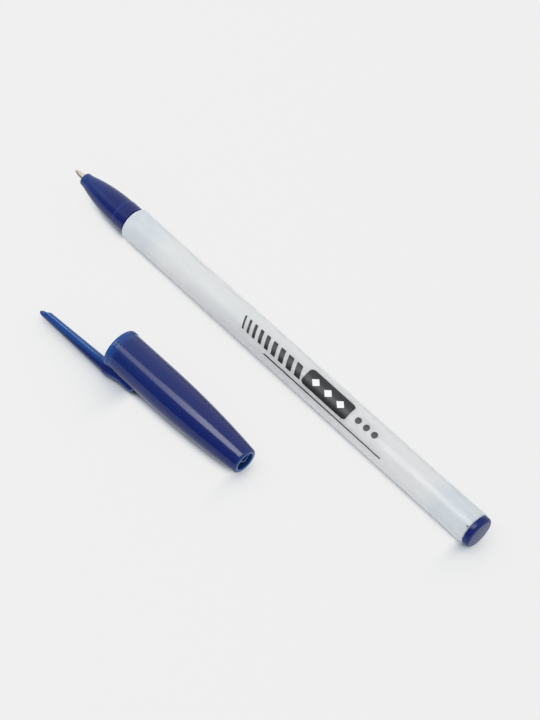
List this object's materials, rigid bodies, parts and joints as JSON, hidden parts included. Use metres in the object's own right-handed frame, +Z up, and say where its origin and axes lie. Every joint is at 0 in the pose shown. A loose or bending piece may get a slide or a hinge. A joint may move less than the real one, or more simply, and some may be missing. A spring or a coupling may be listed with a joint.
{
  "type": "stick ballpoint pen with cap",
  "caption": "Stick ballpoint pen with a white barrel, blue nose, metal point and blue end plug, with its blue clip cap taken off and lying beside it.",
  "frame": {"origin": "on the table under the middle of the pen and its cap", "axes": "+X along the pen from its point to its end plug, +Z up, the cap on the -Y side"},
  "size_m": [0.1438, 0.0388, 0.0108],
  "materials": {
    "white_plastic": "smooth gloss",
    "blue_plastic": "smooth gloss",
    "tip_metal": "turned, silvery",
    "ball_metal": "polished",
    "tube_plastic": "milky, smooth",
    "ink": "wet"
  },
  "bodies": {
    "barrel": {"barrel": "white_plastic"},
    "writing_unit": {"nose_cone": "blue_plastic", "tip_socket": "tip_metal", "ink_tube": "tube_plastic", "ink_column": "ink"},
    "ball": {"writing_ball": "ball_metal"},
    "plug": {"end_plug": "blue_plastic"},
    "cap": {"cap": "blue_plastic"},
    "clip": {"cap_clip": "blue_plastic"}
  },
  "joints": [
    {"name": "nose_pull", "type": "slide", "parent": "barrel", "child": "writing_unit", "axis": [-1, 0, 0], "range_m": [0, 0.105]},
    {"name": "ball_roll", "type": "hinge", "parent": "writing_unit", "child": "ball", "pos_m": [-0.07157, 0.01505, 0.00438], "axis": [0, 1, 0], "continuous": true},
    {"name": "plug_pull", "type": "slide", "parent": "barrel", "child": "plug", "axis": [1, 0, 0], "range_m": [0, 0.014]},
    {"name": "cap_lift", "type": "slide", "parent": "barrel", "child": "cap", "axis": [0, 0, 1], "range_m": [0, 0.06]},
    {"name": "clip_flex", "type": "hinge", "parent": "cap", "child": "clip", "pos_m": [-0.02225, -0.01855, 0.00068], "axis": [0.024, -0.6207, 0.7837], "range_deg": [0, 6], "stiffness_Nm_per_rad": 0.4}
  ]
}
